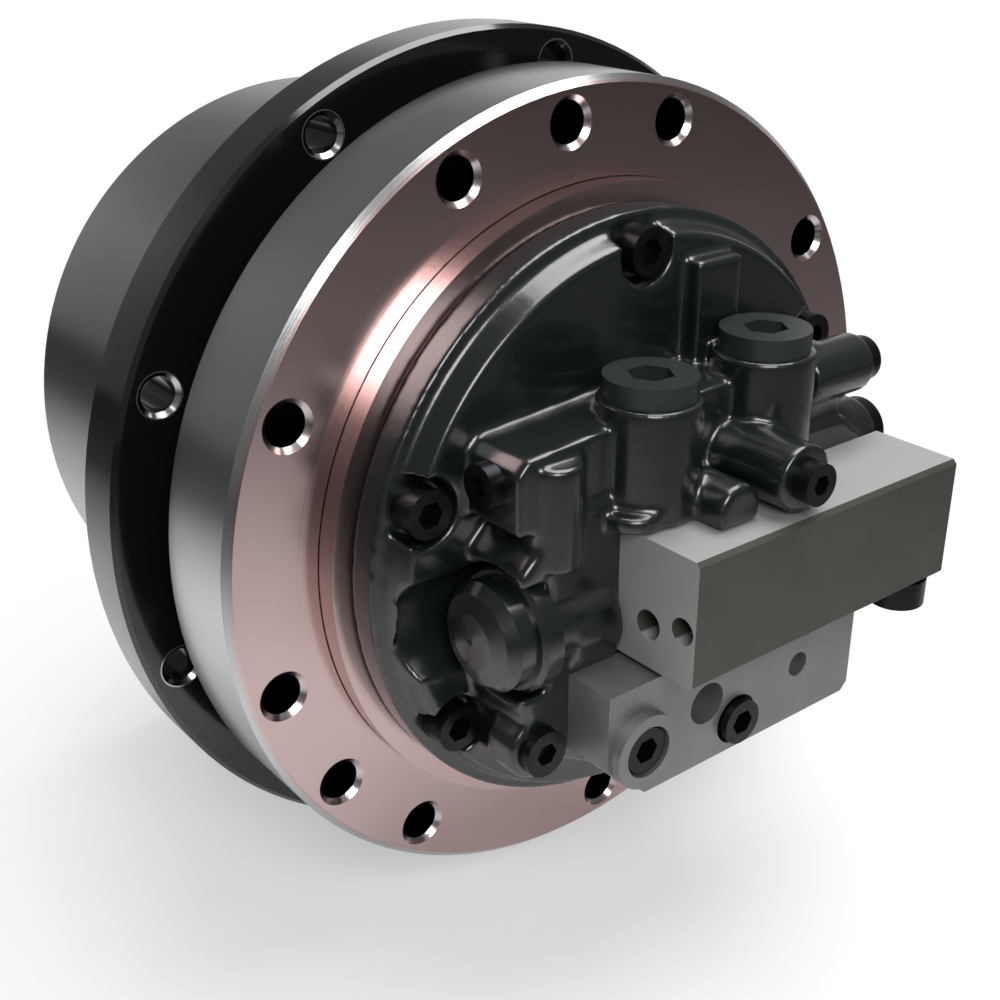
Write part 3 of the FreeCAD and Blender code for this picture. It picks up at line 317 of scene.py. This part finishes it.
cast_enamel.node_tree.links.new(bump.outputs[0], shader.inputs["Normal"])
casting.data.materials.clear()
casting.data.materials.append(cast_enamel)
finish_node("spool_cap_left", cast_enamel)
ease_edges("spool_cap_left", 0.9 * MM)

# ------------------------------------------------------------------ port block
# A bar of free-cutting steel, phosphated all over, a dull dark olive grey. Its top and its ends
# are painted pale: a painted light that stands in for the light falling on these faces.

PHOSPHATE_PATCH = 16.7 * MM  # the coating is uneven over a finger's width
block_steel, shader, place = new_material("phosphated_steel_block", "#3f3e39", 0.3, 0.5)
mill = add_node(block_steel, "ShaderNodeTexNoise", {"Scale": 1 / PHOSPHATE_PATCH, "Detail": 6.0},
                {"Vector": place})
skin = add_node(block_steel, "ShaderNodeMix", {"data_type": "RGBA"}, {"Factor": mill.outputs[0]})
skin.inputs[6].default_value = linear("#3c3b36")
skin.inputs[7].default_value = linear("#4d4c47")
# Painted light: faces turned upwards or towards either end are painted pale.
faces = add_node(block_steel, "ShaderNodeSeparateXYZ",
                 links={0: add_node(block_steel, "ShaderNodeTexCoord").outputs["Normal"]})
end_face = add_node(block_steel, "ShaderNodeMath", {"operation": "ABSOLUTE"},
                    {0: faces.outputs["X"]}).outputs[0]
lit_facing = add_node(block_steel, "ShaderNodeMath", {"operation": "MAXIMUM"},
                       {0: end_face, 1: faces.outputs["Z"]}).outputs[0]
painted_light_faces = add_node(block_steel, "ShaderNodeMapRange", {"From Min": 0.75, "From Max": 0.85},
                  {"Value": lit_facing}).outputs[0]
tone = add_node(block_steel, "ShaderNodeMix", {"data_type": "RGBA"},
                {"Factor": painted_light_faces, 6: skin.outputs[2]})
tone.inputs[7].default_value = linear("#9c9c9a")
block_steel.node_tree.links.new(tone.outputs[2], shader.inputs["Base Color"])
bump = add_node(block_steel, "ShaderNodeBump", {"Strength": 0.15, "Distance": 0.1 * MM},
                {"Height": mill.outputs[0]})
block_steel.node_tree.links.new(bump.outputs[0], shader.inputs["Normal"])
finish_node("port_block", block_steel)
ease_edges("port_block", 0.6 * MM)

# ------------------------------------------------------------------ foot plate
# A milled plate of bare steel under the block, pale and satin.

CUTTER_PATCH = 22.2 * MM  # faint cloudy patches in the milled surface
plate_steel, shader, place = new_material("bare_milled_steel_plate", "#8f928f", 0.6, 0.4)
mill = add_node(plate_steel, "ShaderNodeTexNoise", {"Scale": 1 / CUTTER_PATCH, "Detail": 6.0},
                {"Vector": place})
tone = add_node(plate_steel, "ShaderNodeMix", {"data_type": "RGBA"}, {"Factor": mill.outputs[0]})
tone.inputs[6].default_value = linear("#686b69")
tone.inputs[7].default_value = linear("#8a8d8b")
plate_steel.node_tree.links.new(tone.outputs[2], shader.inputs["Base Color"])
finish_node("foot_plate", plate_steel)
ease_edges("foot_plate", 0.6 * MM)

# ------------------------------------------------------------------ screws, caps and plugs
# Alloy steel, blackened in a hot salt bath: near black with a soft oily shine.

HANDLING_MARK = 4.17 * MM  # spots where the black is thinner
black_oxide, shader, place = new_material("black_oxide_steel", "#1b1c1e", 0.9, 0.32)
wear = add_node(black_oxide, "ShaderNodeTexNoise", {"Scale": 1 / HANDLING_MARK, "Detail": 3.0},
                {"Vector": place})
tone = add_node(black_oxide, "ShaderNodeMix", {"data_type": "RGBA"}, {"Factor": wear.outputs[0]})
tone.inputs[6].default_value = linear("#151618")
tone.inputs[7].default_value = linear("#303236")
black_oxide.node_tree.links.new(tone.outputs[2], shader.inputs["Base Color"])
for name in ("cover_screws", "foot_plate_screws", "spool_plugs", "valve_plugs",
             "drum_screws", "end_cover_screws", "oil_plugs"):
    finish_node(name, black_oxide)
    ease_edges(name, 0.7 * MM)

# The two relief valves' caps are phosphated and oiled, greener and paler than the screws.
cap_steel = new_material("oiled_phosphated_caps", "#3a4140", 0.6, 0.34)[0]
finish_node("relief_valves", cap_steel)
ease_edges("relief_valves", 1.2 * MM)

# ------------------------------------------------------------------ pieces inside
# Ground bearing steel, cut gear steel, sintered bronze and moulded nitrile rubber; they show
# only when the drive is taken apart.

ground_steel = new_material("ground_bearing_steel", "#c9cbcc", 1.0, 0.18)[0]
gear_steel = new_material("hardened_gear_steel", "#9a9b9d", 1.0, 0.35)[0]
bronze = new_material("sintered_bronze", "#a5804a", 1.0, 0.42)[0]
nitrile = new_material("nitrile_rubber", "#141414", 0.0, 0.62)[0]
INSIDE = {"bearing_steel": ground_steel, "gear_steel": gear_steel, "bronze": bronze,
          "rubber_black": nitrile}
for part in frame["record"]["subparts"]:
    if part["material_slot"] in INSIDE:
        finish_node(part["node"], INSIDE[part["material_slot"]])

# ------------------------------------------------------------------ studio
# The drive stands on white paper in a dim room, under a wide lamp and a smaller one in front on
# the left. Only the camera sees the background as full white: metal and enamel reflect the dim
# room, a pale card beyond the drum and paper that darkens away from the lamp.

floor_z = cad_low[2] - 0.5 * MM
PAPER_HALF = 6.0
LIT_CENTRE = (-0.05, 0.2, floor_z)
LIT_RADII = (0.25, 0.75)  # the paper that reflections see darkens between these
SHADOW_RADII = (0.18, 0.42)  # the shadow that the camera sees fades out between these
SHADOW_LIFT = 0.42  # how much white is laid over the shadow at its middle
mesh = bpy.data.meshes.new("floor")
mesh.from_pydata([(-PAPER_HALF, -PAPER_HALF, floor_z), (PAPER_HALF, -PAPER_HALF, floor_z),
                  (PAPER_HALF, PAPER_HALF, floor_z), (-PAPER_HALF, PAPER_HALF, floor_z)],
                 [], [(0, 1, 2, 3)])
floor = bpy.data.objects.new("floor", mesh)
bpy.context.scene.collection.objects.link(floor)
paper, shader, place = new_material("white_paper", "#f0f0f0", 0.0, 0.9)
mesh.materials.append(paper)
away = add_node(paper, "ShaderNodeVectorMath", {"operation": "LENGTH"},
                {0: place}).outputs["Value"]
path = add_node(paper, "ShaderNodeLightPath")
unseen = add_node(paper, "ShaderNodeMath", {"operation": "SUBTRACT", 0: 1.0},
                  {1: path.outputs["Is Camera Ray"]}).outputs[0]
from_lamp = add_node(paper, "ShaderNodeVectorMath",
                     {"operation": "SUBTRACT", 1: LIT_CENTRE}, {0: place}).outputs[0]
under_lamp = add_node(paper, "ShaderNodeVectorMath", {"operation": "LENGTH"},
                      {0: from_lamp}).outputs["Value"]
farther = add_node(paper, "ShaderNodeMapRange", {"From Min": LIT_RADII[0], "From Max": LIT_RADII[1]},
                   {"Value": under_lamp}).outputs[0]
dimmer = add_node(paper, "ShaderNodeMath", {"operation": "MULTIPLY"},
                  {0: farther, 1: unseen}).outputs[0]
ground = add_node(paper, "ShaderNodeMix", {"data_type": "RGBA"}, {"Factor": dimmer})
ground.inputs[6].default_value = linear("#f0f0f0")
ground.inputs[7].default_value = linear("#626262")
paper.node_tree.links.new(ground.outputs[2], shader.inputs["Base Color"])
fade = add_node(paper, "ShaderNodeMapRange",
                {"interpolation_type": "SMOOTHSTEP", "From Min": SHADOW_RADII[0],
                 "From Max": SHADOW_RADII[1], "To Min": SHADOW_LIFT, "To Max": 1.0},
                {"Value": away}).outputs[0]
lift = add_node(paper, "ShaderNodeMath", {"operation": "MULTIPLY"},
                {0: path.outputs["Is Camera Ray"], 1: fade}).outputs[0]
glow = add_node(paper, "ShaderNodeEmission", {"Color": linear("#ffffff"), "Strength": 1.0})
sheet = add_node(paper, "ShaderNodeMixShader",
                 links={0: lift, 1: shader.outputs[0], 2: glow.outputs[0]})
paper_out = next(n for n in paper.node_tree.nodes if n.type == "OUTPUT_MATERIAL")
paper.node_tree.links.new(sheet.outputs[0], paper_out.inputs["Surface"])


def softbox(name, at, aim, size, power):
    """A rectangular lamp with a soft edge."""
    data = bpy.data.lights.new(name, "AREA")
    data.shape = "RECTANGLE"
    data.size, data.size_y = size
    data.energy = power
    lamp = bpy.data.objects.new(name, data)
    lamp.location = at
    lamp.rotation_euler = (Vector(aim) - Vector(at)).to_track_quat("-Z", "Y").to_euler()
    bpy.context.scene.collection.objects.link(lamp)


softbox("overhead", (0.3, -0.05, 1.25), (0, 0, 0), (1.0, 1.0), 20)
softbox("front_left", (-0.5, -0.9, 0.72), (0, 0, 0), (0.6, 0.6), 11)

ROOM_LEVEL = 0.16
CARD_LEVEL = 0.65
CARD_TOWARDS = (0.45, 0.893, 0.0)
CARD_SIDES = (0.48, 0.75)  # cosine of the angle from its middle, at its soft edge
CARD_TOP = (0.56, 0.28)  # sine of the height at which it ends and is full
world = bpy.data.worlds.new("studio")
bpy.context.scene.world = world
world.use_nodes = True
world.node_tree.nodes.clear()
sky = add_node(world, "ShaderNodeTexCoord").outputs["Generated"]
ahead = add_node(world, "ShaderNodeVectorMath", {"operation": "DOT_PRODUCT", 1: CARD_TOWARDS},
                 {0: sky}).outputs["Value"]
card = add_node(world, "ShaderNodeMapRange",
                {"interpolation_type": "SMOOTHSTEP", "From Min": CARD_SIDES[0],
                 "From Max": CARD_SIDES[1]},
                {"Value": ahead}).outputs[0]
height = add_node(world, "ShaderNodeSeparateXYZ", links={0: sky}).outputs["Z"]
under_top = add_node(world, "ShaderNodeMapRange",
                     {"interpolation_type": "SMOOTHSTEP", "From Min": CARD_TOP[0],
                      "From Max": CARD_TOP[1]},
                     {"Value": height}).outputs[0]
card = add_node(world, "ShaderNodeMath", {"operation": "MULTIPLY"},
                {0: card, 1: under_top}).outputs[0]
card = add_node(world, "ShaderNodeMath", {"operation": "MULTIPLY", 1: CARD_LEVEL},
                {0: card}).outputs[0]
room_level = add_node(world, "ShaderNodeMath", {"operation": "MAXIMUM", 1: ROOM_LEVEL},
                      {0: card}).outputs[0]
room = add_node(world, "ShaderNodeBackground", {"Color": linear("#ffffff")},
                {"Strength": room_level})
white = add_node(world, "ShaderNodeBackground", {"Color": linear("#ffffff"), "Strength": 1.0})
path = add_node(world, "ShaderNodeLightPath")
both = add_node(world, "ShaderNodeMixShader",
                links={0: path.outputs["Is Camera Ray"], 1: room.outputs[0],
                       2: white.outputs[0]})
add_node(world, "ShaderNodeOutputWorld", links={0: both.outputs[0]})
bpy.context.scene.view_settings.view_transform = "Standard"

camera_data = bpy.data.cameras.new("camera")
camera = bpy.data.objects.new("camera", camera_data)
camera_data.lens = 51.1
right = Vector((0.7819, -0.6235, 0.0))
up = Vector((0.2612, 0.3275, 0.9080))
back = Vector((-0.5661, -0.7100, 0.4189))
turn = Matrix((right, up, back)).transposed()
camera.matrix_world = Matrix.Translation((-0.3123, -0.3414, 0.2107)) @ turn.to_4x4()
bpy.context.scene.collection.objects.link(camera)
bpy.context.scene.camera = camera
